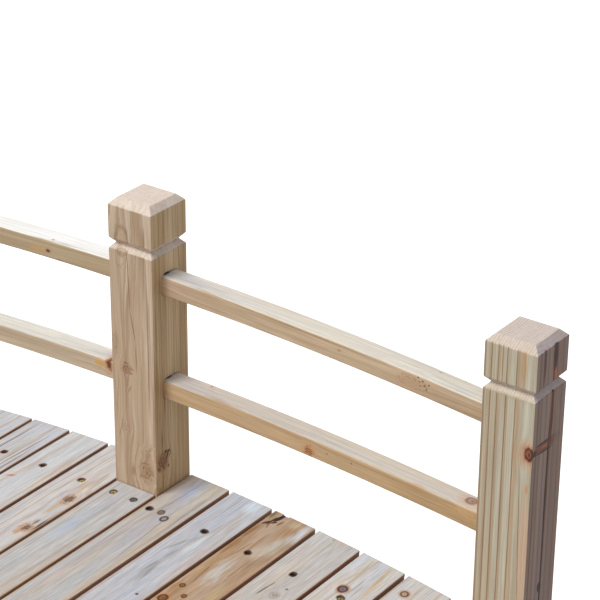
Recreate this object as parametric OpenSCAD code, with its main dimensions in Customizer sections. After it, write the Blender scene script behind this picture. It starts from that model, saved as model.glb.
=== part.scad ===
// Arched wooden garden bridge: two arched side beams carry a deck of cross planks, and on
// each side three square posts hold two arched rails.
// X runs along the bridge, Y across it and Z up. The origin is on the ground at the middle.

/* [Deck] */
// Radius of the arc that the top of the deck follows
deck_r = 3140; // [2800:10:3600]
// Height of the deck's top above the ground at the last plank
deck_end_h = 60; // [52:1:80]
// Width of one plank, along the bridge
plank_w = 66.5; // [56:0.5:72]
// Thickness of a plank
plank_t = 18; // [14:1:22]
// Gap between one plank and the next, along the arc
plank_gap = 5.5; // [4:0.5:12]
// Rounding of a plank's long edges
plank_edge_r = 2.5; // [1:0.5:4]
// Plank steps from one post pair to the next
bay_planks = 8; // [6:1:9]
// Planks beyond each end post pair
end_planks = 2; // [1:1:3]
// Clearance between a post and the planks that lie against it
post_gap = 1.8; // [1:0.2:4]
// Gap between a short plank's end and the post that it stops at
short_gap = 1; // [0.5:0.5:3]

/* [Screw holes] */
// Diameter of the sunk hole that hides a screw's head
screw_sink_d = 9.5; // [8:0.5:12]
// Depth of the straight part of the sunk hole
screw_sink_depth = 2.5; // [1:0.5:4]
// Diameter of the hole for the screw's shank
screw_shank_d = 4.5; // [3.5:0.5:6]
// Distance of the screw line from the side beam's outer face
screw_inset = 28; // [16:1:32]
// Distance between the two screws at the end of a short plank
screw_pair = 37; // [26:1:44]

/* [Side beams] */
// Thickness of a side beam, across the bridge
beam_t = 45; // [38:1:55]
// Depth of a side beam, from its top arc to its bottom arc
beam_depth = 65; // [55:1:75]
// How far a side beam's end stops short of the last plank's lower edge
beam_end_inset = 4; // [1:1:12]

/* [Cross braces] */
// Width of a brace, along the bridge
brace_w = 34; // [24:1:45]
// Height of a brace
brace_h = 42; // [30:1:48]
// Drop of a brace's top below the side beams' top edge
brace_drop = 6; // [4:1:12]
// Distance of an end brace's middle from the side beam's end
brace_end_inset = 80; // [60:1:90]

/* [Posts] */
// Distance between the middles of the two rows of posts
post_rows = 748; // [640:2:860]
// Width of a square post
post_w = 72; // [60:1:74]
// Top of the middle posts above the deck's highest point
post_top = 421; // [390:1:480]
// How much lower the end posts' tops are
post_end_drop = 21; // [0:1:40]
// Height of a post's cap, from the groove to the flat top
post_cap_h = 56; // [40:1:62]
// Chamfer round a post's flat top
post_chamfer = 9.2; // [4:0.2:14]
// Height of the groove under the cap
groove_h = 15; // [8:1:20]
// Depth of the groove under the cap
groove_depth = 7; // [3:0.5:10]

/* [Rails] */
// Radius of the arc that a rail's top follows
rail_r = 5430; // [4800:10:6400]
// Top of the upper rail above the deck's highest point
upper_rail_top = 320; // [300:1:330]
// Top of the lower rail above the deck's highest point
lower_rail_top = 167; // [120:1:210]
// Height of a rail
rail_h = 27; // [22:1:34]
// Depth of a rail, across the bridge
rail_d = 32; // [24:1:40]
// Rounding of a rail's long edges
rail_edge_r = 3; // [1:0.5:6]
// How far a rail is let into a post
tenon = 25; // [15:1:28]
// Clearance under and beside a rail in its mortise
mortise_clear = 0.3; // [0.1:0.1:0.6]
// Rise of the mortise's curved mouth above the rail
mortise_crown = 2.4; // [1:0.2:4]

/* [Hidden] */
SIDES = ["front", "back"];
ENDS = ["left", "middle", "right"];
LEVELS = ["lower", "upper"];
last_plank = bay_planks + end_planks;
PLANKS = [for (i = [-last_plank:last_plank]) i];

// Segments of the long arcs, and of the small circles
arc_fn = 1440;
round_fn = 48;
// How far a cutting shape runs past the face that it cuts
cut = 1;
// Reach of a clipping shape that is larger than the bridge
reach = 3000;

// Angle that an arc length of the deck spans
function deck_angle(s) = s / deck_r * 180 / PI;

plank_pitch = plank_w + plank_gap;
post_x = deck_r * sin(deck_angle(bay_planks * plank_pitch));

// Angle of a plank with one edge at x: step is 1 or -1 for a plank that lies beyond or before
// that edge, and depth says how far under the deck's top the edge is taken
function angle_beside(x, step, depth) =
    asin((x + step * plank_w / 2 * cos(asin(x / deck_r))) / (deck_r - depth));
// A plank beyond a post clears it with its lower edge, and one before it with its upper edge
function angle_beyond(x) = angle_beside(x + post_w / 2 + post_gap, 1, plank_t);
function angle_before(x) = angle_beside(x - post_w / 2 - post_gap, -1, 0);
// Angle of a plank's middle from the crown, for the nth plank out
function angle_out(n) =
    n == 1 ? angle_beyond(0)
    : n == bay_planks - 1 ? angle_before(post_x)
    : n > bay_planks ? angle_beyond(post_x) + deck_angle((n - bay_planks - 1) * plank_pitch)
    : deck_angle(n * plank_pitch);
function plank_angle(i) = sign(i) * angle_out(abs(i));
// Planks in line with a post pair are short, so that they stop between the posts
function is_short(i) = i == 0 || abs(i) == bay_planks;

last_angle = plank_angle(last_plank);
crown_h = deck_end_h + deck_r * (1 - cos(last_angle + deck_angle(plank_w / 2)));
deck_cz = crown_h - deck_r;

beam_top_r = deck_r - plank_t;
beam_bottom_r = beam_top_r - beam_depth;
beam_half = beam_top_r * sin(last_angle) + plank_w / 2 * cos(last_angle) - beam_end_inset;
beam_outer_y = post_rows / 2 - post_w / 2;
beam_inner_y = beam_outer_y - beam_t;
screw_y = beam_outer_y - screw_inset;

deck_w = post_rows + post_w;
short_w = post_rows - post_w - 2 * short_gap;

// Height of the side beam's lower arc above the ground
function beam_under(x) = deck_cz + sqrt(pow(beam_bottom_r, 2) - x * x);

// Names of the pieces
function beam_name(side) = str("side_beam_", side);
function brace_name(end) = str("cross_brace_", end);
function plank_name(i) = let (n = i + last_plank + 1) str("plank_", n < 10 ? "0" : "", n);
function post_name(side, end) = str("post_", side, "_", end);
function rail_name(side, end, level) = str("rail_", side, "_", end, "_", level);

// Signs of the places along and across the bridge
function side_y(side) = side == "front" ? -1 : 1;
function end_x(end) = end == "left" ? -1 : end == "right" ? 1 : 0;

// Rectangle with its middle at the origin and rounded corners
module rounded_rect(w, h, r) {
    square([w - 2 * r, h], center = true);
    square([w, h - 2 * r], center = true);
    for (x = [-1, 1], y = [-1, 1])
        translate([x * (w / 2 - r), y * (h / 2 - r)])
            circle(r = r, $fn = round_fn);
}

// Sunk hole for one screw, down through a plank whose top is at z = 0
module screw_hole() {
    cone_h = (screw_sink_d - screw_shank_d) / 2;
    translate([0, 0, -screw_sink_depth])
        cylinder(d = screw_sink_d, h = screw_sink_depth + cut, $fn = round_fn);
    translate([0, 0, -screw_sink_depth - cone_h])
        cylinder(d1 = screw_shank_d, d2 = screw_sink_d, h = cone_h, $fn = round_fn);
    translate([0, 0, -plank_t - cut])
        cylinder(d = screw_shank_d, h = plank_t + cut, $fn = round_fn);
}

// One deck plank, screwed down to both side beams
module plank(i) {
    length = is_short(i) ? short_w : deck_w;
    screws = is_short(i) ? [-screw_pair / 2, screw_pair / 2] : [0];
    color(is_short(i) ? "lightgray" : "gainsboro")
        translate([0, 0, deck_cz])
            rotate([0, plank_angle(i), 0])
                translate([0, 0, deck_r])
                    difference() {
                        translate([0, 0, -plank_t / 2])
                            rotate([90, 0, 0])
                                linear_extrude(length, center = true)
                                    rounded_rect(plank_w, plank_t, plank_edge_r);
                        for (x = screws, y = [-screw_y, screw_y])
                            translate([x, y, 0])
                                screw_hole();
                    }
}

// Outline of a side beam: a band between two arcs, cut level where it stands on the ground
module beam_outline() {
    intersection() {
        translate([0, deck_cz])
            difference() {
                circle(r = beam_top_r, $fn = arc_fn);
                circle(r = beam_bottom_r, $fn = arc_fn);
            }
        translate([-beam_half, 0])
            square([2 * beam_half, reach]);
    }
}

module side_beam(side) {
    color("tan")
        translate([0, side_y(side) * (beam_outer_y - beam_t / 2), 0])
            rotate([90, 0, 0])
                linear_extrude(beam_t, center = true)
                    beam_outline();
}

// Brace between the two side beams, square to their arc
module cross_brace(end) {
    angle = asin(end_x(end) * (beam_half - brace_end_inset) / beam_top_r);
    color("burlywood")
        translate([0, 0, deck_cz])
            rotate([0, angle, 0])
                translate([0, 0, beam_top_r - brace_drop - brace_h / 2])
                    cube([brace_w, 2 * beam_inner_y, brace_h], center = true);
}

// Outline of a post seen from one side: flat top with a chamfer, and a groove under the cap
module post_outline(foot_z, top_z) {
    half = post_w / 2;
    cap_z = top_z - post_cap_h;
    side = [
        [half, foot_z],
        [half, cap_z - groove_h],
        [half - groove_depth, cap_z - groove_h / 2],
        [half, cap_z],
        [half, top_z - post_chamfer],
        [half - post_chamfer, top_z]
    ];
    mirrored = [for (k = [len(side) - 1:-1:0]) [-side[k].x, side[k].y]];
    polygon(concat(side, mirrored));
}

// Square post: the same outline cut along both of its directions
module post_blank(foot_z, top_z) {
    intersection() {
        rotate([90, 0, 0])
            linear_extrude(post_w, center = true)
                post_outline(foot_z, top_z);
        rotate([90, 0, 90])
            linear_extrude(post_w, center = true)
                post_outline(foot_z, top_z);
    }
}

// Places a rail's section along its arc between two distances from the middle of the bridge
module along_rail(top_h, x0, x1) {
    a0 = asin(x0 / rail_r);
    a1 = asin(x1 / rail_r);
    translate([0, 0, crown_h + top_h - rail_r])
        rotate([90, 0, 0])
            rotate([0, 0, 90 - a1])
                rotate_extrude(angle = a1 - a0, $fn = arc_fn)
                    translate([rail_r - rail_h / 2, 0])
                        children();
}

// Section of a mortise: room for the rail, with a mouth that is curved above it
module mortise_section() {
    half_d = rail_d / 2 + mortise_clear;
    half_h = rail_h / 2 + mortise_clear;
    mouth_r = (pow(half_d, 2) + pow(mortise_crown, 2)) / (2 * mortise_crown);
    intersection() {
        translate([-half_h, -half_d])
            square([2 * half_h + mortise_crown, 2 * half_d]);
        translate([half_h + mortise_crown - mouth_r, 0])
            circle(r = mouth_r, $fn = arc_fn);
    }
}

module rail(side, end, level) {
    top_h = level == "upper" ? upper_rail_top : lower_rail_top;
    x0 = post_w / 2 - tenon;
    x1 = post_x - post_w / 2 + tenon;
    color("wheat")
        translate([0, side_y(side) * post_rows / 2, 0])
            mirror([end == "left" ? 1 : 0, 0, 0])
                along_rail(top_h, x0, x1)
                    rounded_rect(rail_h, rail_d, rail_edge_r);
}

// The mortises of one bay, from inside the middle post to inside the end post
module bay_mortises() {
    x0 = post_w / 2 - tenon - mortise_clear;
    x1 = post_x - post_w / 2 + tenon + mortise_clear;
    for (top_h = [lower_rail_top, upper_rail_top])
        along_rail(top_h, x0, x1)
            mortise_section();
}

// Post that stands against the side beam's outer face and ends level with its lower edge
module post(side, end) {
    x = end_x(end) * post_x;
    foot_z = beam_under(max(abs(x) - post_w / 2, 0));
    top_z = crown_h + post_top - abs(end_x(end)) * post_end_drop;
    color("peru")
        translate([0, side_y(side) * post_rows / 2, 0])
            difference() {
                translate([x, 0, 0])
                    post_blank(foot_z, top_z);
                if (end != "left")
                    bay_mortises();
                if (end != "right")
                    mirror([1, 0, 0])
                        bay_mortises();
            }
}

for (side = SIDES)
    side_beam(side);
for (end = ENDS)
    cross_brace(end);
for (i = PLANKS)
    plank(i);
for (side = SIDES, end = ENDS)
    post(side, end);
for (side = SIDES, end = ["left", "right"], level = LEVELS)
    rail(side, end, level);
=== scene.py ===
import math
import random

import bmesh
import bpy
from mathutils import Matrix, Vector


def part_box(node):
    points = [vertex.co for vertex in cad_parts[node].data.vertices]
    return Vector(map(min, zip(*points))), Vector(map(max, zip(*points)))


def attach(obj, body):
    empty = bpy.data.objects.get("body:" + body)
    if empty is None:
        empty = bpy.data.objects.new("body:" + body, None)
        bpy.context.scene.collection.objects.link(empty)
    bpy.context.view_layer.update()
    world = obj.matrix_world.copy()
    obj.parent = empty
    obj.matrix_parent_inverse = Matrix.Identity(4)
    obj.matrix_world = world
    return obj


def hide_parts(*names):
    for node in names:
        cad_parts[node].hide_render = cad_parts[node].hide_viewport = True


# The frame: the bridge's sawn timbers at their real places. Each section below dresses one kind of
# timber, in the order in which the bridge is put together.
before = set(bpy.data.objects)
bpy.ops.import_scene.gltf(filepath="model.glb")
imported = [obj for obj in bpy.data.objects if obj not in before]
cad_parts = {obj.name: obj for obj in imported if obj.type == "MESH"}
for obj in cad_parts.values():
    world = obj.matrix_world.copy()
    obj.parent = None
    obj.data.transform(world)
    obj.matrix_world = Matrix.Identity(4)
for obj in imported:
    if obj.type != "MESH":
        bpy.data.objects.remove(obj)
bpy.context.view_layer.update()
bpy.ops.object.select_all(action="DESELECT")


# Side beams. Two fir boards on edge, each sawn to the deck's arc and cut level where it stands
# on the ground. Their arrises are eased, and the saw leaves their grain running straight.
deck_r = 3.140
beam_depth = 0.065
beam_corner = 0.0015
beam_steps = 72
saw_ease = 0.001
saw_spare = 0.01
grain_z = 0.08
arc_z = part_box("plank_11")[1].z - deck_r
MM = 0.001


def pick(piece):
    """Selects one piece alone and makes it active."""
    bpy.ops.object.select_all(action="DESELECT")
    piece.select_set(True)
    bpy.context.view_layer.objects.active = piece


def open_piece(piece, mode="VERT", every=False):
    """Opens one piece in edit mode with all of it selected, or nothing."""
    pick(piece)
    bpy.ops.object.mode_set(mode="EDIT")
    bpy.ops.mesh.select_mode(type=mode)
    bpy.ops.mesh.select_all(action="SELECT" if every else "DESELECT")


def close_piece():
    bpy.ops.object.mode_set(mode="OBJECT")
    bpy.ops.object.select_all(action="DESELECT")


def settle(piece):
    """Puts a piece's place, turn and size into its mesh."""
    pick(piece)
    bpy.ops.object.transform_apply(location=True, rotation=True, scale=True)
    piece.select_set(False)
    return piece


def add_shape(kind, name, stretch=(1, 1, 1), **settings):
    """A primitive at its place and size, ready to be shaped."""
    getattr(bpy.ops.mesh, f"primitive_{kind}_add")(**settings)
    piece = bpy.context.object
    piece.name = name
    piece.data.name = name
    piece.scale = stretch
    return settle(piece)


def work(piece, kind, **settings):
    """Adds a modifier to a piece and applies it."""
    bpy.context.view_layer.objects.active = piece
    modifier = piece.modifiers.new(kind, kind)
    for key, value in settings.items():
        setattr(modifier, key, value)
    bpy.ops.object.modifier_apply(modifier=modifier.name)


def ease(piece, width, segments=2, limit=50):
    """Takes the sharp arrises off a piece, as sanding does."""
    work(piece, "BEVEL", width=width, segments=segments, limit_method="ANGLE",
         angle_limit=math.radians(limit), use_clamp_overlap=True)


def carve(piece, cutter):
    """Cuts the shape of one piece out of another, and throws the first away."""
    work(piece, "BOOLEAN", object=cutter, operation="DIFFERENCE", solver="EXACT")
    bpy.data.objects.remove(cutter)


def smooth(piece):
    """Shades a finished piece smooth round its arrises and flat between them."""
    pick(piece)
    bpy.ops.object.shade_smooth_by_angle(angle=math.radians(30))
    work(piece, "WEIGHTED_NORMAL", keep_sharp=True)
    piece.select_set(False)


def copy_of(piece, name):
    """A copy of a piece with its own mesh."""
    twin = piece.copy()
    twin.data = piece.data.copy()
    twin.name = name
    twin.data.name = name
    bpy.context.scene.collection.objects.link(twin)
    return twin


def move(piece, turn):
    """Puts a piece at a new place and turn, and into its mesh."""
    piece.matrix_world = turn
    return settle(piece)


def cut_away(piece, point, normal):
    """Saws off what lies beyond a plane."""
    open_piece(piece, every=True)
    bpy.ops.mesh.bisect(plane_co=point, plane_no=normal, use_fill=True, clear_outer=True)
    close_piece()


def arched_bar(name, middle, radius, start, sweep, depth, thickness, corner, steps, crown=0.0):
    """A bar whose section, depth by thickness, is spun along an arc. Its corners are rounded, or
    its outer side is crowned."""
    out = Vector((math.sin(start), 0, math.cos(start)))
    piece = add_shape("plane", name, (depth, thickness, 1), size=1,
                      location=middle + out * radius, rotation=(0, math.pi / 2 + start, 0))
    open_piece(piece, "EDGE")
    if crown:
        shape = bmesh.from_edit_mesh(piece.data)
        rise = [(edge.verts[0].co + edge.verts[1].co - 2 * middle).dot(out) for edge in shape.edges]
        shape.edges.ensure_lookup_table()
        shape.edges[rise.index(max(rise))].select_set(True)
        bmesh.update_edit_mesh(piece.data)
        bpy.ops.mesh.subdivide(number_cuts=7)
        shape = bmesh.from_edit_mesh(piece.data)
        for point in shape.verts:
            off = point.co - middle
            if off.dot(out) > radius:
                point.co += out * crown * (1 - (2 * off.y / thickness) ** 2)
        bmesh.update_edit_mesh(piece.data)
    else:
        bpy.ops.mesh.select_all(action="SELECT")
        bpy.ops.mesh.bevel(offset=corner, segments=3, affect="VERTICES")
    bpy.ops.mesh.select_all(action="SELECT")
    bpy.ops.mesh.spin(steps=steps, angle=-sweep, center=middle, axis=(0, 1, 0))
    bpy.ops.mesh.select_mode(type="VERT")
    bpy.ops.mesh.select_all(action="SELECT")
    bpy.ops.mesh.remove_doubles(threshold=1e-6)
    bpy.ops.mesh.select_all(action="DESELECT")
    bpy.ops.mesh.select_non_manifold()
    bpy.ops.mesh.edge_face_add()
    bpy.ops.mesh.select_all(action="SELECT")
    bpy.ops.mesh.normals_make_consistent(inside=False)
    close_piece()
    return piece


def plug(tree, socket, value):
    """Gives a node's input a value, or a link from a node or an output."""
    if isinstance(value, bpy.types.Node):
        value = value.outputs[0]
    if isinstance(value, bpy.types.NodeSocket):
        tree.links.new(value, socket)
    else:
        socket.default_value = value


def put(tree, kind, *values, inputs=None, **settings):
    """Adds a node: values go to its inputs in order, and inputs to the ones that they name."""
    made = tree.nodes.new("ShaderNode" + kind)
    for key, value in settings.items():
        setattr(made, key, value)
    for key, value in [*enumerate(values), *(inputs or {}).items()]:
        plug(tree, made.inputs[key], value)
    return made


def calc(tree, operation, *values):
    return put(tree, "Math", *values, operation=operation)


def times(tree, *values):
    return calc(tree, "MULTIPLY", *values)


def vector(tree, operation, *values):
    return put(tree, "VectorMath", *values, operation=operation)


def scaled(tree, place, scale, start):
    """A place on another scale and from another start."""
    return vector(tree, "MULTIPLY_ADD", place, scale, start)


def between(tree, value, low, high, start=0.0, end=1.0):
    """Smooth step of a value between two limits."""
    return put(tree, "MapRange", value, low, high, start, end, interpolation_type="SMOOTHSTEP")


def noise(tree, place, detail=2.0, roughness=0.5):
    """Noise with features about one unit across."""
    return put(tree, "TexNoise",
               inputs={"Vector": place, "Scale": 1.0, "Detail": detail, "Roughness": roughness})


def drift(tree, place, detail=2.0):
    """A direction that changes slowly from place to place."""
    return vector(tree, "SUBTRACT", noise(tree, place, detail).outputs["Color"], (0.5, 0.5, 0.5))


def tint(tree, amount, under, over, way="MIX"):
    """Lays one colour over another."""
    made = put(tree, "Mix", data_type="RGBA", blend_type=way)
    plug(tree, made.inputs[0], amount)
    plug(tree, made.inputs[6], under)
    plug(tree, made.inputs[7], over)
    return made.outputs[2]


def srgb(red, green, blue):
    """A colour as a screen shows it, 0 to 255 a channel, for a shader."""
    share = [c / 255 for c in (red, green, blue)]
    return (*(c / 12.92 if c < 0.04 else ((c + 0.055) / 1.055) ** 2.4 for c in share), 1.0)


def new_group(name, takes, gives):
    """An empty node group. What it takes and gives is named by kind of value."""
    tree = bpy.data.node_groups.new(name, "ShaderNodeTree")
    for way, sockets in (("INPUT", takes), ("OUTPUT", gives)):
        for kind, labels in sockets.items():
            for label in labels.split():
                tree.interface.new_socket(label, in_out=way, socket_type="NodeSocket" + kind)
    return tree, tree.nodes.new("NodeGroupInput").outputs, tree.nodes.new("NodeGroupOutput").inputs


def make_knot_group():
    """A branch inside the board: a ragged egg-shaped body that pushes the grain aside."""
    tree, take, give = new_group("fir_knot", dict(Vector="Place Middle Size"),
                                 dict(Vector="Shift", Float="Body Halo Strokes"))
    off = vector(tree, "SUBTRACT", take["Place"], take["Middle"])
    share = vector(tree, "DIVIDE", off, take["Size"])
    sway = drift(tree, scaled(tree, share, (1.3, 1.3, 1.3), take["Middle"]), detail=3.0)
    distance = vector(tree, "LENGTH", scaled(tree, sway, (1.5, 1.5, 1.5), share)).outputs[1]
    plug(tree, give["Body"], between(tree, distance, 0.55, 1.1, 1.0, 0.0))
    plug(tree, give["Halo"], between(tree, distance, 0.6, 2.5, 1.0, 0.0))
    line = between(tree, calc(tree, "SINE", times(tree, distance, 13.0)), 0.25, 0.95)
    finer = scaled(tree, share, (2.6, 2.6, 2.6), take["Middle"])
    broken = between(tree, noise(tree, finer), 0.40, 0.58)
    fading = between(tree, distance, 0.9, 1.45, 1.0, 0.0)
    plug(tree, give["Strokes"], times(tree, times(tree, line, broken), fading))
    pull = calc(tree, "EXPONENT", times(tree, times(tree, distance, distance), -0.30))
    push = times(tree, pull, -0.85)
    sideways = vector(tree, "MULTIPLY", off, (0.0, 1.0, 1.0))
    plug(tree, give["Shift"], put(tree, "VectorMath", sideways, inputs={"Scale": push},
                                  operation="SCALE"))
    return tree


def make_knot_colour_group():
    """Colours a knot: an orange-brown halo, a body and broken dark rings."""
    tree, take, give = new_group(
        "fir_knot_colour", dict(Color="Colour Heart", Float="Body Halo Strokes Depth Glow"),
        dict(Color="Colour"))
    glow = times(tree, take["Halo"], take["Glow"])
    warm = tint(tree, glow, take["Colour"], srgb(204, 152, 108))
    body = tint(tree, times(tree, take["Body"], take["Depth"]), warm, take["Heart"])
    drawn = times(tree, take["Strokes"], take["Depth"])
    plug(tree, give["Colour"], tint(tree, drawn, body, srgb(84, 58, 40)))
    return tree


def make_patch_group():
    """A mark in the wood with a worn edge, such as a resin streak, a split or a pale flame."""
    tree, take, give = new_group(
        "fir_patch", dict(Color="Colour Mark", Vector="Place Sway Middle Reach Turn",
                          Float="Amount Ragged Soft"), dict(Color="Colour"))
    share = put(tree, "Mapping", take["Place"], take["Middle"], take["Turn"], take["Reach"],
                vector_type="TEXTURE")
    bent = put(tree, "VectorMath", take["Sway"], inputs={"Scale": take["Ragged"]},
               operation="SCALE")
    distance = vector(tree, "LENGTH", vector(tree, "ADD", share, bent)).outputs[1]
    mask = between(tree, distance, calc(tree, "SUBTRACT", 1.0, take["Soft"]), 1.05, 1.0, 0.0)
    plug(tree, give["Colour"], tint(tree, times(tree, mask, take["Amount"]), take["Colour"],
                                    take["Mark"]))
    return tree


def make_grain_group():
    """Growth rings round a pith that runs along the board, and the fibres between them."""
    tree, take, give = new_group(
        "fir_grain", dict(Vector="Place Shift Seed Pith", Float="Ring Line Taper Wander"),
        dict(Float="Late Fibre Streak Tone Cloud Gold"))
    moved = vector(tree, "ADD", take["Place"], take["Shift"])
    bend = drift(tree, scaled(tree, moved, (0.003, 0.012, 0.012), take["Seed"]))
    ripple = drift(tree, scaled(tree, moved, (0.012, 0.09, 0.09), take["Seed"]))
    wide = put(tree, "CombineXYZ", 0.0, take["Wander"], take["Wander"])
    grown = scaled(tree, bend, wide, moved)
    grown = scaled(tree, ripple, (0.0, 2.5, 2.5), grown)
    off = vector(tree, "SUBTRACT", grown, take["Pith"])
    radius = vector(tree, "LENGTH", vector(tree, "MULTIPLY", off, (0.0, 1.0, 1.0))).outputs[1]
    along = put(tree, "SeparateXYZ", off).outputs[0]
    coned = calc(tree, "MULTIPLY_ADD", along, take["Taper"], radius)
    count = calc(tree, "DIVIDE", coned, take["Ring"])
    share = calc(tree, "FRACT", count)
    early = calc(tree, "MULTIPLY_ADD", take["Line"], -1.7, 1.0)
    full = calc(tree, "MULTIPLY_ADD", take["Line"], -0.5, 1.0)
    rise = between(tree, share, early, full)
    late = times(tree, rise, between(tree, share, 0.95, 1.0, 1.0, 0.0))
    year = put(tree, "TexWhiteNoise", noise_dimensions="1D",
               inputs={"W": calc(tree, "FLOOR", count)})
    weight = calc(tree, "MULTIPLY_ADD", year.outputs["Value"], 0.65, 0.35)
    plug(tree, give["Late"], times(tree, late, weight))
    for label, scale, detail, low, high in (("Fibre", (0.008, 0.5, 0.5), 4.0, 0.30, 0.70),
                                            ("Streak", (0.0035, 0.17, 0.17), 3.0, 0.46, 0.66)):
        field = noise(tree, scaled(tree, grown, scale, take["Seed"]), detail, 0.62)
        plug(tree, give[label], between(tree, field, low, high))
    spread = scaled(tree, grown, (0.0035, 0.040, 0.040), take["Seed"])
    clouds = put(tree, "SeparateXYZ", noise(tree, spread, detail=3.0).outputs["Color"]).outputs
    for label, channel, low, high in (("Tone", 0, 0.38, 0.62), ("Cloud", 1, 0.46, 0.60),
                                      ("Gold", 2, 0.50, 0.64)):
        plug(tree, give[label], between(tree, clouds[channel], low, high))
    return tree


knot_group = make_knot_group()
knot_colour_group = make_knot_colour_group()
patch_group = make_patch_group()
grain_group = make_grain_group()


def board_axes(origin, along, across):
    """Axes of a board: its own length, width and thickness, from its middle."""
    through = along.cross(across)
    turn = Matrix((along, across, through)).transposed()
    return Matrix.Translation(origin) @ turn.to_4x4()


def bare_tree(owner):
    """The empty node tree of a material or of the sky."""
    owner.use_nodes = True
    owner.node_tree.nodes.clear()
    return owner.node_tree


def use_group(tree, group, **inputs):
    made = tree.nodes.new("ShaderNodeGroup")
    made.node_tree = group
    for label, value in inputs.items():
        plug(tree, made.inputs[label.capitalize()], value)
    return made


def on_face(side, out, marks, deep=8):
    """Places marks on the face of a board that lies so far out across (side 1) or through it
    (side 2), and so deep. A mark has its place along and over the face, its reach both ways,
    colour and strength, and may have how ragged and how soft its edge is, and its angle over the
    grain."""
    found = []
    for along, over, length, width, shade, strength, *rest in marks:
        ragged, soft, angle = (*rest, *(0.4, 0.6, 0)[len(rest):])
        lean = math.radians(angle)
        if side == 1:
            place, reach, turn = (along, out, over), (length, deep, width), (0, -lean, 0)
        else:
            place, reach, turn = (along, over, out), (length, width, deep), (0, 0, lean)
        found.append((place, reach, shade, strength, ragged, soft, turn))
    return found


def ringed(along, over, size, rim, heart, halo=0.6):
    """Marks that draw a sound round knot on a face: its halo, dark rim, heart and eye."""
    return [(along, over, 1.9 * size, 1.5 * size, (186, 132, 88), halo, 0.25, 0.45),
            (along, over, 1.25 * size, size, rim, 0.95, 0.2, 0.25),
            (along, over, 0.85 * size, 0.62 * size, heart, 0.9, 0.25, 0.5),
            (along, over, 0.35 * size, 0.28 * size, rim, 0.6, 0.2, 0.6)]


def wild_knots(dice, length, width, thick, count):
    """Knots wherever they fall, for a board that the picture doesn't show closely."""
    found = []
    for _ in range(count):
        size = dice.uniform(3.0, 6.5)
        along = dice.uniform(-0.45, 0.45) * length
        heart = dice.choice(((150, 104, 72), (132, 106, 92), (164, 122, 84)))
        if width > 2 * thick or dice.random() < 0.5:
            middle = (along, dice.uniform(-0.4, 0.4) * width, 0)
            spread = (1.3 * size, size, thick)
        else:
            middle = (along, 0, dice.uniform(-0.4, 0.4) * thick)
            spread = (1.3 * size, width, size)
        found.append((middle, spread, heart, dice.uniform(0.7, 0.95), dice.uniform(0.3, 0.8)))
    return found


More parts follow.
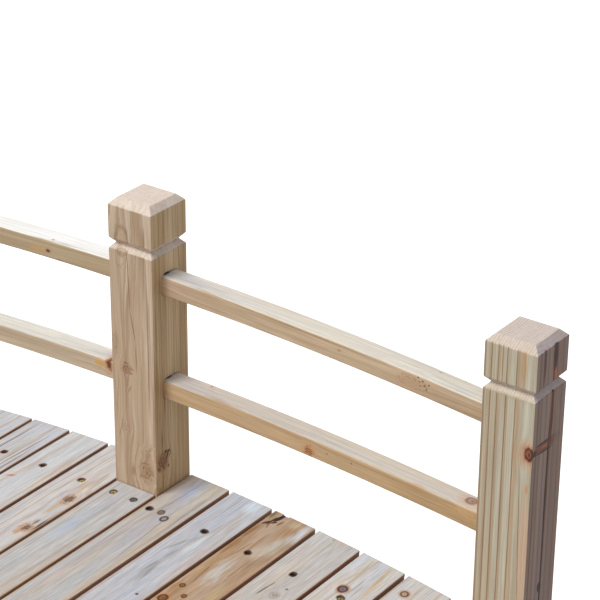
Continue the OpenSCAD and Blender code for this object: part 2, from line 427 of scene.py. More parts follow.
def fir(name, axes, seed, pith=(5, -60), ring=8.0, line=0.2, taper=0.01, wander=8.0,
        pale=(201, 178, 150), warm=(184, 156, 126), late=(146, 112, 80), lines=0.6,
        streak=(160, 126, 94), streaks=0.35, ends=(176, 148, 118), end_lines=0.3, faces=(),
        top=(206, 203, 201), cool=(188, 192, 203), honey=(208, 178, 136), cloud=0.6, gold=0.3,
        bleach_and_sky_light=0.0, fibres=0.2, nap=0.0, marks=(), knots=()):
    """Bare planed fir. Places and sizes of knots and marks are millimetres along, across and
    through the board from its middle; colours are as a screen shows them, 0 to 255."""
    material = bpy.data.materials.new(name)
    tree = bare_tree(material)
    place = put(tree, "Mapping", put(tree, "TexCoord").outputs["Object"], vector_type="TEXTURE",
                inputs={"Location": axes.translation, "Rotation": axes.to_euler(),
                        "Scale": (MM, MM, MM)})
    shift = (0.0, 0.0, 0.0)
    branches = []
    for middle, size, heart, depth, glow in knots:
        found = use_group(tree, knot_group, place=place, middle=middle, size=size)
        branches.append((found, heart, depth, glow))
        shift = vector(tree, "ADD", shift, found.outputs["Shift"])
    grain = use_group(tree, grain_group, place=place, shift=shift, seed=(seed, 3.7 * seed, -seed),
                      pith=(0.0, *pith), ring=ring, line=line, taper=taper,
                      wander=wander).outputs
    normal = put(tree, "NewGeometry").outputs["Normal"]
    colour = tint(tree, grain["Tone"], srgb(*pale), srgb(*warm))
    colour = tint(tree, times(tree, grain["Streak"], streaks), colour, srgb(*streak))
    usual = [(one + other) / 2 for one, other in zip(srgb(*pale), srgb(*warm))]
    # Faces that look one way get a tint: the wood's own colour on some, and painted light and shade on
    # others, such as the post chamfers, one post's right face and the planks' sides in the gaps.
    for side, shade, amount in faces:
        facing = vector(tree, "DOT_PRODUCT", normal, side).outputs[1]
        face_tone_and_light = [wanted / now for wanted, now in zip(srgb(*shade), usual)]
        colour = tint(tree, between(tree, facing, 0.78, 0.92, 0.0, amount), colour, face_tone_and_light,
                      "MULTIPLY")
    grain_way = axes.to_3x3().col[0]
    facing = calc(tree, "ABSOLUTE", vector(tree, "DOT_PRODUCT", normal, grain_way).outputs[1])
    colour = tint(tree, between(tree, facing, 0.4, 0.92, 0.0, 0.8), colour, srgb(*ends))
    drawn = between(tree, facing, 0.3, 0.8, lines, lines * end_lines)
    colour = tint(tree, times(tree, grain["Late"], drawn), colour, srgb(*late))
    # Faces that look up take a paler, cooler colour: partly sun bleaching, partly painted light, the
    # blue of the sky from above.
    if bleach_and_sky_light:
        bleached_and_sky_lit_top = tint(tree, times(tree, grain["Cloud"], cloud), srgb(*top), srgb(*cool))
        bleached_and_sky_lit_top = tint(tree, times(tree, grain["Gold"], gold), bleached_and_sky_lit_top, srgb(*honey))
        upward = between(tree, put(tree, "SeparateXYZ", normal).outputs[2], 0.5, 0.9)
        bleached = calc(tree, "MULTIPLY_ADD", grain["Late"], -min(0.65, 1.1 * lines), 1.0)
        amount = times(tree, times(tree, upward, bleach_and_sky_light), bleached)
        colour = tint(tree, amount, colour, bleached_and_sky_lit_top)
    start = (7.1 * seed, seed, -2.3 * seed)
    edge = noise(tree, scaled(tree, place, (0.035, 0.24, 0.24), start), detail=4.0)
    sway = scaled(tree, edge.outputs["Color"], (0.7, 2.4, 2.4), (-0.35, -1.2, -1.2))
    for middle, reach, shade, strength, ragged, soft, turn in marks:
        colour = use_group(tree, patch_group, colour=colour, place=place, sway=sway,
                           middle=middle, reach=reach, mark=srgb(*shade), amount=strength,
                           ragged=ragged, soft=soft, turn=turn).outputs[0]
    rub = between(tree, facing, 0.3, 0.8, fibres, 0.25 * fibres)
    fine = calc(tree, "MULTIPLY_ADD", calc(tree, "SUBTRACT", grain["Fibre"], 0.5), rub, 1.0)
    bands = calc(tree, "MULTIPLY_ADD", grain["Streak"], -0.07, 1.03)
    shade = times(tree, fine, bands)
    if nap:
        torn = scaled(tree, place, (0.035, 0.50, 0.50), start)
        raised = between(tree, noise(tree, torn, detail=3.0, roughness=0.6), 0.32, 0.68)
        shade = times(tree, shade, calc(tree, "MULTIPLY_ADD", raised, nap, 1 - nap / 2))
    colour = tint(tree, 1.0, colour, put(tree, "CombineColor", shade, shade, shade), "MULTIPLY")
    for found, heart, depth, glow in branches:
        found = found.outputs
        colour = use_group(tree, knot_colour_group, colour=colour, body=found["Body"],
                           halo=found["Halo"], strokes=found["Strokes"], depth=depth, glow=glow,
                           heart=srgb(*heart)).outputs[0]
    planed = scaled(tree, place, (0.010, 0.42, 0.42), start)
    relief = noise(tree, planed, detail=4.0, roughness=0.62)
    bump = put(tree, "Bump", inputs={"Strength": between(tree, facing, 0.3, 0.8, 0.25, 0.06),
                                     "Distance": 0.0006, "Height": relief})
    rough = calc(tree, "MULTIPLY_ADD", grain["Fibre"], 0.12, 0.58)
    shader = put(tree, "BsdfPrincipled",
                 inputs={"Base Color": colour, "Roughness": rough, "Normal": bump,
                         "Specular IOR Level": 0.3})
    put(tree, "OutputMaterial", shader)
    return material


def fit_out(piece, material, slot, *nodes):
    """Gives a finished piece its material and its place on the bridge."""
    piece.data.materials.clear()
    piece.data.materials.append(material)
    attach(piece, "root")
    if nodes:
        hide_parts(*nodes)
    return piece


sawn = dict(pale=(190, 168, 138), warm=(176, 147, 114))
for side in ("front", "back"):
    node = f"side_beam_{side}"
    low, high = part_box(node)
    middle = Vector((0, (low.y + high.y) / 2, arc_z))
    top_r = high.z - arc_z
    reach = math.asin(high.x / top_r) + saw_spare
    beam = arched_bar(f"{node}_board", middle, top_r - beam_depth / 2, -reach, 2 * reach,
                      beam_depth, high.y - low.y, beam_corner, beam_steps)
    for point, way in ((low, (0, 0, -1)), (high, (1, 0, 0)), (low, (-1, 0, 0))):
        cut_away(beam, point, way)
    ease(beam, saw_ease)
    smooth(beam)
    axes = board_axes(Vector((0, middle.y, grain_z)), Vector((1, 0, 0)), Vector((0, 0, 1)))
    wood = fir(f"fir_{node}", axes, 11.0 if side == "front" else 23.0, pith=(-30, 70),
               knots=wild_knots(random.Random(side), 1400, 60, 45, 5), **sawn)
    fit_out(beam, wood, "side_beam", node)


# Cross braces. Three square fir bars that hold the side beams apart, each set square to the arc
# and screwed through the beams into its end grain.
brace_w = 0.034
brace_h = 0.042
brace_ease = 0.0015

for number, end in enumerate(("left", "middle", "right")):
    node = f"cross_brace_{end}"
    low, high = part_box(node)
    middle = (low + high) / 2
    lean = math.atan2(middle.x, middle.z - arc_z)
    brace = add_shape("cube", f"{node}_bar", (brace_w, high.y - low.y, brace_h), size=1)
    open_piece(brace, every=True)
    bpy.ops.mesh.subdivide(number_cuts=2)
    close_piece()
    ease(brace, brace_ease)
    smooth(brace)
    move(brace, Matrix.Translation(middle) @ Matrix.Rotation(lean, 4, "Y"))
    axes = board_axes(middle, Vector((0, 1, 0)), Vector((1, 0, 0)))
    wood = fir(f"fir_{node}", axes, 31.0 + number, pith=(20, 45),
               knots=wild_knots(random.Random(end), 560, 34, 42, 3), **sawn)
    fit_out(brace, wood, "side_beam", node)


# Posts. Six square fir posts bolted to the side beams' outer faces. A V groove is planed round
# each under its cap, the flat top is chamfered, and mortises take the rails' ends.
post_w = 0.072
cap_h = 0.056
groove_h = 0.015
groove_depth = 0.007
chamfer = 0.0092
post_ease = 0.0009
rail_r = 5.430
rail_h = 0.027
rail_d = 0.032
mortise_clear = 0.0003
mortise_crown = 0.0024
arc_steps = 24
post_mid = 0.3
post_face = post_w / 2 / MM


def open_top(piece):
    """Opens a piece in edit mode with its top face selected, and gives that face's middle."""
    open_piece(piece, "FACE")
    shape = bmesh.from_edit_mesh(piece.data)
    top = max(shape.faces, key=lambda face: face.calc_center_median().z)
    top.select_set(True)
    centre = top.calc_center_median()
    bmesh.update_edit_mesh(piece.data)
    return centre


def raise_top(piece, rise, share):
    """Extrudes a post's top face by a rise and scales it to a share of its width."""
    centre = open_top(piece) + Vector((0, 0, rise))
    bpy.ops.mesh.extrude_region_move(TRANSFORM_OT_translate={"value": (0, 0, rise)})
    bpy.ops.transform.resize(value=(share, share, 1), center_override=centre)
    close_piece()


def turn_post(name, foot, top_z):
    """A post from its foot up: shaft, groove, cap and chamfer."""
    shaft_h = top_z - cap_h - groove_h - foot.z
    post = add_shape("cube", name, (post_w, post_w, shaft_h), size=1,
                     location=foot + Vector((0, 0, shaft_h / 2)))
    waist = 1 - 2 * groove_depth / post_w
    raise_top(post, groove_h / 2, waist)
    raise_top(post, groove_h / 2, 1 / waist)
    raise_top(post, cap_h - chamfer, 1)
    raise_top(post, chamfer, 1 - 2 * chamfer / post_w)
    ease(post, post_ease, limit=30)
    return post


def rail_arc(node):
    """The middle of a rail's arc, and the angles at which its two ends lie."""
    low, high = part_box(node)
    near, far = sorted((abs(low.x), abs(high.x)))
    start = math.asin(near / (rail_r - rail_h))
    stop = math.asin(far / rail_r)
    return Vector((0, (low.y + high.y) / 2, high.z - rail_r * math.cos(start))), start, stop


def swing_left(piece, middle):
    """Turns a piece of the right bay round to the left one."""
    return move(piece, Matrix.Translation(middle) @ Matrix.Rotation(math.pi, 4, "Z")
                @ Matrix.Translation(-middle))


def mortise_cutter(node):
    """What the mortises of one rail take out of its posts: the rail, with room above it."""
    middle, start, stop = rail_arc(node)
    spare = mortise_clear / rail_r
    bar = arched_bar("mortise", middle, rail_r - rail_h / 2, start - spare,
                     stop - start + 2 * spare, rail_h + 2 * mortise_clear,
                     rail_d + 2 * mortise_clear, 0, arc_steps, crown=mortise_crown)
    return swing_left(bar, middle) if "left" in node else bar


def strokes(shade, strength, ragged, soft, *places):
    """Marks of one colour and edge. A place is along and across the face, the mark's reach both
    ways and, where it leans over the grain, its angle."""
    return [(*place[:4], shade, strength, ragged, soft, *place[4:]) for place in places]


def stripes(reach, ragged, *lines):
    """Marks along the whole of a post's face. A line has its place across the face, its reach,
    its colour, its strength and how soft its edge is."""
    return [(20, over, reach, width, shade, strength, ragged, soft)
            for over, width, shade, strength, soft in lines]


# The middle and right posts of the far railing are the ones that the picture shows closely.
# The chamfer towards the lamp is tinted lighter, as painted light, and the other chamfer darker, as
# painted shade.
lit_chamfer, shaded_chamfer = (0, -0.71, 0.71), (0.71, 0, 0.71)
knotty_post = dict(
    pith=(10, -118), ring=9.5, line=0.16, wander=9.0, lines=0.62, pale=(209, 189, 166),
    warm=(192, 168, 141), late=(150, 118, 86), ends=(222, 208, 197), end_lines=0.08,
    streaks=0.4, fibres=0.22,
    faces=[((1, 0, 0), (198, 172, 135), 1.0), (lit_chamfer, (214, 196, 176), 0.8),
           (shaded_chamfer, (184, 168, 160), 0.9)],
    knots=[((29, -11.4, -36), (8, 8, 14), (158, 128, 98), 0.8, 0.15),
           ((64, -30, -36), (14, 5, 12), (186, 158, 130), 0.4, 0.0),
           ((-60, -16, -36), (8, 7, 12), (174, 146, 118), 0.35, 0.0),
           ((-121, 18, -36), (13, 11, 14), (170, 138, 106), 0.75, 0.1),
           ((-104, 36, -23), (12, 14, 9), (140, 104, 72), 0.9, 0.25),
           ((212, -18, -36), (30, 11.5, 12), (200, 174, 148), 0.2, 0.0)],
    marks=on_face(2, -post_face, [
        *strokes((140, 104, 72), 0.8, 0.3, 0.5, (157, -4, 56, 1.1, -2), (94, 1.6, 26, 1.1, -10)),
        (50, 5.6, 26, 1.1, (144, 108, 76), 0.8, 0.3, 0.5),
        (225, 24, 26, 1.2, (146, 110, 78), 0.8, 0.3, 0.5),
        (60, 26.5, 130, 1.2, (146, 110, 78), 0.75, 0.3, 0.6),
        (60, 31, 240, 3.6, (214, 190, 170), 0.45, 0.2, 0.6),
        (60, -30, 240, 5, (206, 186, 158), 0.4, 0.4, 0.9),
        (216, -14, 25, 13, (146, 114, 84), 0.6, 0.15, 0.2),
        (215, -14, 21, 10, (198, 174, 148), 0.7, 0.2, 0.35),
        *strokes((126, 92, 62), 0.5, 0.5, 0.7, (31, -1.5, 2.4, 4, 20), (24, -4, 2.0, 5, -10)),
        (38, -12, 1.6, 6, (120, 86, 58), 0.6, 0.5, 0.6, 4),
        (10, -10, 12, 1.6, (134, 100, 70), 0.8, 0.9, 0.6, 8),
        (-1, -7, 9, 1.6, (134, 100, 70), 0.75, 0.9, 0.6, 24),
        (4, -9, 16, 5, (184, 156, 128), 0.6, 0.9, 0.8),
        (-20, -28, 60, 1.2, (158, 126, 96), 0.6, 0.4, 0.6, 4),
        (-66, -24, 20, 1.2, (150, 118, 88), 0.6, 0.5, 0.6, 14),
        (-60, -8, 40, 6, (186, 156, 128), 0.5, 0.8, 0.9),
        (-124, -3, 11, 5, (146, 114, 84), 0.55, 0.9, 0.8)], 4)
    + on_face(1, post_face, [
        *stripes(230, 0.25, (-14.5, 3.2, (166, 138, 102), 0.55, 0.7),
                (-31, 1.4, (146, 116, 82), 0.6, 0.6), (-24, 1.0, (156, 126, 92), 0.6, 0.6),
                (-4, 1.1, (160, 130, 96), 0.55, 0.6), (6, 2.2, (164, 136, 102), 0.5, 0.7),
                (20, 1.5, (152, 124, 90), 0.6, 0.6), (30, 1.3, (158, 130, 96), 0.5, 0.6)),
        (-9, -15.5, 38, 2.0, (120, 90, 60), 0.75, 0.3, 0.7),
        (-72, -22.5, 24, 1.3, (104, 76, 50), 0.85, 0.3, 0.6),
        (-92, -24, 9, 1.6, (92, 62, 38), 0.85, 0.6, 0.5, 22),
        (-98, -17, 11, 1.6, (96, 66, 42), 0.85, 0.6, 0.5, -30),
        (-106, -23, 8, 2.4, (92, 62, 38), 0.85, 0.7, 0.5, -20),
        (-112, -30, 8, 3.4, (104, 74, 46), 0.85, 0.7, 0.5, -35),
        (-92, -9, 2.0, 6, (96, 66, 42), 0.85, 0.5, 0.5, 20),
        (-99, -7, 5, 1.4, (96, 66, 42), 0.8, 0.5, 0.5, 30),
        (-114, -10, 3.2, 2.6, (96, 66, 42), 0.85, 0.5),
        (-134, -22, 24, 1.2, (112, 82, 54), 0.75, 0.5, 0.6), (243, -11.5, 30, 2.2, (150, 120, 88), 0.6),
        (-103, -18, 17, 11, (122, 90, 58), 0.75, 0.7, 0.7),
        (-98, -12, 14, 2.4, (44, 26, 16), 1.0, 0.7, 0.5, 28),
        (-109, -22, 13, 2.6, (46, 28, 18), 1.0, 0.7, 0.5, -24),
        (-91, -15, 3.6, 4.4, (50, 30, 18), 0.95, 0.5, 0.5),
        (-101, -24, 3.0, 4.0, (46, 28, 18), 0.95, 0.5, 0.5)], 4))
striped_post = dict(
    pith=(-150, 6), ring=3.7, line=0.3, wander=4.0, lines=0.28, pale=(197, 191, 171),
    warm=(189, 178, 154), late=(168, 138, 112), ends=(208, 194, 188), end_lines=2.0,
    streaks=0.15, fibres=0.24,
    # The right face is tinted dark: partly the post's own heartwood, partly painted shade.
    faces=[((1, 0, 0), (138, 117, 108), 1.0), (lit_chamfer, (204, 190, 166), 0.9),
           (shaded_chamfer, (142, 136, 148), 1.0)],
    knots=[((111, 34, -34), (10, 9, 9), (134, 80, 56), 0.0, 0.0)],
    marks=on_face(2, -post_face, [
        *stripes(440, 0.1, (-34, 1.9, (160, 134, 104), 0.9, 0.6),
                (-27, 2.4, (178, 152, 126), 0.75, 0.7), (-25.2, 1.0, (144, 112, 84), 0.9, 0.5),
                (-14, 2.6, (176, 150, 122), 0.75, 0.7), (-16.2, 1.1, (142, 110, 80), 0.9, 0.5),
                (-2, 2.4, (176, 152, 124), 0.75, 0.7), (-4.2, 1.1, (142, 108, 78), 0.9, 0.5)),
        (20, 12.6, 440, 4.0, (182, 154, 122), 0.75, 0.12, 0.7),
        (20, 9.2, 440, 1.1, (150, 112, 80), 0.85, 0.1, 0.5),
        (226, 18.5, 42, 4.5, (188, 152, 112), 0.8, 0.2, 0.6),
        (226, -10.4, 46, 1.0, (160, 118, 80), 0.85, 0.2, 0.5),
        (140, 26, 100, 7, (206, 202, 184), 0.7, 0.3),
        (-30, 30.5, 98, 7, (206, 174, 148), 0.8, 0.3, 0.4),
        (-22, 23.5, 112, 0.9, (160, 118, 90), 0.85, 0.4, 0.5, -2),
        (64, 31, 9, 2.6, (202, 148, 100), 0.8, 0.4),
        (111, 29, 28, 18, (200, 144, 108), 0.85, 0.4, 0.95),
        (111, 31, 16, 9.5, (168, 106, 76), 0.8, 0.4, 0.7),
        (111, 31.5, 11, 7, (72, 38, 27), 0.95, 0.4, 0.3),
        (111.5, 31, 7.4, 4.6, (150, 94, 64), 0.9, 0.6, 0.4),
        (110.5, 31.5, 3.6, 2.0, (62, 34, 25), 0.85, 0.6, 0.6),
        (182, 0, 6, 60, (180, 168, 140), 0.75, 0.1, 0.6)], 2)
    + on_face(1, post_face, [
        *stripes(440, 0.15, (-28, 2.2, (106, 84, 76), 0.8, 0.6), (-20, 1.8, (112, 90, 80), 0.7, 0.6),
                (-9, 2.0, (116, 96, 88), 0.7, 0.6), (-15, 2.6, (152, 132, 124), 0.7, 0.7),
                (12, 3.0, (112, 92, 90), 0.7, 0.8), (25, 2.6, (106, 88, 86), 0.7, 0.8)),
        (60, 2, 190, 5.6, (124, 72, 46), 0.8, 0.25, 0.9),
        (115, 4, 9, 30, (118, 80, 66), 0.6, 0.7, 0.9, 6),
        (112, -10, 7.5, 27, (124, 72, 52), 0.95, 0.25, 0.3, 4),
        (106, -11, 1.9, 25, (58, 30, 24), 0.95, 0.3, 0.5, 5),
        (118, -8, 1.9, 26, (44, 24, 20), 0.95, 0.3, 0.5, 3),
        (111, -31, 5, 6.5, (56, 30, 24), 0.95, 0.3, 0.5),
        (112, -8, 2.2, 12, (172, 118, 88), 0.7, 0.4, 0.7, 4),
        (50, 1, 110, 2.5, (34, 12, 6), 1.0, 0.25, 0.3),
        (-80, 1.5, 130, 2.1, (36, 14, 8), 1.0, 0.25, 0.3),
        (-90, -0.5, 9, 6.0, (40, 22, 18), 1.0, 0.3, 0.5),
        (160, 5, 60, 3.6, (84, 40, 22), 1.0, 0.25, 0.35),
        (228, 6, 44, 7.4, (62, 32, 20), 1.0, 0.2, 0.7),
        (228, -18, 44, 4.4, (78, 50, 42), 0.9, 0.2, 0.7),
        (202, 8, 12, 3.6, (182, 112, 76), 0.8, 0.3)], 2))
post_wood = {("back", "middle"): knotty_post, ("back", "right"): striped_post}

for side in ("front", "back"):
    for end in ("left", "middle", "right"):
        node = f"post_{side}_{end}"
        low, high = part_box(node)
        foot = Vector(((low.x + high.x) / 2, (low.y + high.y) / 2, low.z))
        post = turn_post(f"{node}_timber", foot, high.z)
        held = [(f"rail_{side}_{bay}_{level}", 1 if (bay == "right") == (end == "middle") else -1)
                for bay in ("left", "right") for level in ("lower", "upper")
                if end in ("middle", bay)]
        for rail, _ in held:
            carve(post, mortise_cutter(rail))
        smooth(post)
        axes = board_axes(Vector((foot.x, foot.y, post_mid)), Vector((0, 0, 1)), Vector((1, 0, 0)))
        dice = random.Random(node)
        # Painted shade: dark slits over the rails' ends, just inside the mortises, where the openings
        # lie in shadow.
        slit_shadows = []
        for rail, hand in held:
            mouth = math.sqrt(rail_r ** 2 - (foot.x + hand * post_w / 2) ** 2) + rail_arc(rail)[0].z
            slit_shadows.append((((mouth - post_mid) / MM + 0.8, hand * 33, -6),
                          (4.2 if "upper" in rail else 2.8, 6, 10.5), (24, 15, 10), 1.0, 0.15,
                          0.35, (0, 0, 0)))
        plain = dict(pith=(dice.uniform(-60, 60), dice.choice((-95, 95))), ring=8.5,
                     ends=(212, 198, 182), late=(160, 124, 92),
                     knots=wild_knots(dice, 420, 72, 72, 4))
        wood = dict(post_wood.get((side, end), plain))
        wood["marks"] = [*wood.get("marks", []), *slit_shadows]
        seed = 41.0 + foot.x * 7 + foot.y * 3
        fit_out(post, fir(f"fir_{node}", axes, seed, **wood), "post", node)


# Rails. Eight fir bars sawn to a shallow arc, two a bay, with rounded arrises. Each is let into
# a mortise in the post at either end.
rail_edge = 0.003
rail_ease = 0.0005
rail_top = rail_h / 2 / MM
rail_side = rail_d / 2 / MM
pinholes = ((148, 8.8), (150, 3.4), (155, 6.0), (152, -1.4), (158, 1.2), (161, -3.6), (164, 3.6))
rail_wood = {
    ("back", "right", "upper"): dict(
        pale=(207, 183, 153), warm=(192, 166, 136), top=(221, 218, 208),
        knots=[((138, -0.4, 16), (18, 7, 10), (190, 156, 122), 0.35, 0.2)],
        marks=on_face(2, rail_side, [
            *strokes((84, 56, 38), 0.95, 0.3, 0.5, *[(*place, 1.7, 1.5) for place in pinholes]),
            (31, 2.8, 4, 2, (176, 108, 76), 0.6), (-235, 0, 60, 14, (208, 176, 156), 0.5, 0.4, 0.9),
            (-60, 10, 210, 1.2, (168, 132, 94), 0.6, 0.4)])
        + on_face(1, rail_top, [
            (164, -9.3, 3, 2, (150, 142, 134), 0.7), (198, -12.7, 3, 2, (160, 150, 140), 0.6),
            (-240, 2, 80, 16, (178, 184, 202), 0.8, 0.4, 0.9)])),
    ("back", "right", "lower"): dict(
        pale=(200, 170, 133), warm=(187, 156, 116), top=(210, 203, 192), honey=(214, 190, 158),
        knots=[((-13, -5, 16), (7, 7, 9), (168, 112, 66), 0.85, 0.7),
               ((221, 13.5, -2), (10, 10, 10), (150, 112, 92), 0.0, 0.1)],
        marks=on_face(2, rail_side, [
            *strokes((120, 84, 56), 0.7, 0.4, 0.6, (15, 1.9, 2, 1.6), (53, 3, 2, 1.6)),
            (151, 10, 18, 3, (188, 136, 88), 0.35), (231, 2, 44, 9, (206, 166, 116), 0.5),
            (-120, 11, 150, 1.4, (180, 140, 100), 0.5)])
        + on_face(1, rail_top, [
            (224, -1, 30, 20, (208, 160, 130), 0.85, 0.3, 0.8),
            (221, -2, 11, 11, (108, 78, 64), 0.95, 0.2, 0.25),
            (221, -2, 8.6, 8.6, (182, 150, 134), 0.9, 0.2, 0.4),
            (222, -2, 3.6, 4.4, (110, 86, 78), 0.85, 0.2, 0.5),
            (229, -6, 3, 3, (96, 62, 46), 0.9, 0.3, 0.5), (-191, -10.6, 3, 3, (176, 110, 86), 0.7),
            (-186, -4, 9, 6, (204, 176, 166), 0.5),
            (-240, 0, 66, 16, (196, 188, 198), 0.7, 0.4, 0.9)])),
    ("back", "left", "upper"): dict(
        pale=(190, 170, 138), warm=(176, 152, 122), top=(247, 247, 245), cool=(240, 242, 246),
        bleach_and_sky_light=0.97, fibres=0.12, lines=0.15, nap=0.03, gold=0.1,
        knots=[((125, -3.5, 16), (4, 3, 10), (96, 62, 46), 0.95, 0.5)],
        marks=on_face(2, rail_side, [
            (106, -3.8, 18, 6, (200, 162, 102), 0.7), (145, -13, 6, 1.4, (140, 80, 60), 0.8),
            (190, 12, 80, 2, (150, 142, 112), 0.6)])
        + on_face(1, rail_top, [
            (131, 10.5, 3.4, 3, (150, 140, 140), 0.8)])),
    ("back", "left", "lower"): dict(
        pale=(204, 185, 160), warm=(190, 170, 144), top=(231, 229, 220), gold=0.15,
        knots=[((227, 4, 16), (5, 9, 12), (112, 64, 46), 0.95, 0.9)],
        marks=on_face(2, rail_side, [
            (210, 2, 11, 8, (208, 162, 92), 0.8)])
        + on_face(1, rail_top, [
            (225, 0, 28, 14, (196, 190, 190), 0.7, 0.8)]))}

for side in ("front", "back"):
    for end in ("left", "right"):
        for level in ("lower", "upper"):
            node = f"rail_{side}_{end}_{level}"
            middle, start, stop = rail_arc(node)
            rail = arched_bar(f"{node}_bar", middle, rail_r - rail_h / 2, start, stop - start,
                              rail_h, rail_d, rail_edge, arc_steps)
            ease(rail, rail_ease)
            smooth(rail)
            flip = 1
            if end == "left":
                swing_left(rail, middle)
                flip = -1
            half = (start + stop) / 2
            across = Vector((flip * math.sin(half), 0, math.cos(half)))
            along = Vector((math.cos(half), 0, -flip * math.sin(half)))
            axes = board_axes(middle + across * (rail_r - rail_h / 2), along, across)
            seed = 61.0 + along.z * 90 + middle.y * 5 + (20 if level == "upper" else 0)
            wood = dict(top=(212, 208, 198), bleach_and_sky_light=0.85, streaks=0.22, lines=0.25,
                        pith=(-18, 40), ring=6.0, nap=0.08, gold=0.12, cloud=0.35, marks=[],
                        knots=wild_knots(random.Random(node), 500, 27, 32, 3))
            wood.update(rail_wood.get((side, end, level), {}))
            # Painted shade: the rail's top is dark inside its mortises, where the slits over it show it
            # in shadow.
            low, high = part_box(f"post_{side}_{end}")
            for mouth, way in ((post_w / 2, -1), (abs(low.x + high.x) / 2 - post_w / 2, 1)):
                at = rail_r * (math.asin(mouth / rail_r) - half) / MM
                wood["marks"] = [*wood["marks"], ((flip * (at + way * 3.8), rail_top, 4), (8, 8, 14),
                                                  (22, 14, 10), 1.0, 0.1, 0.3, (0, 0, 0))]
            fit_out(rail, fir(f"fir_{node}", axes, seed, **wood), "rail", node)


# Deck planks. Twenty-one planed fir boards across the side beams, with rounded arrises and sunk
# screw holes. The three in line with the posts are short, with two screws at each end.
plank_w = 0.0665
plank_t = 0.018
plank_edge = 0.0016
plank_lengths = {"long": 0.820, "short": 0.674}
plank_top = -plank_t / 2 / MM
beside_posts = (3, 11, 19)
screw_pair = 37
screw_row = 310
sink_d = 9.2
sink_depth = 4.4
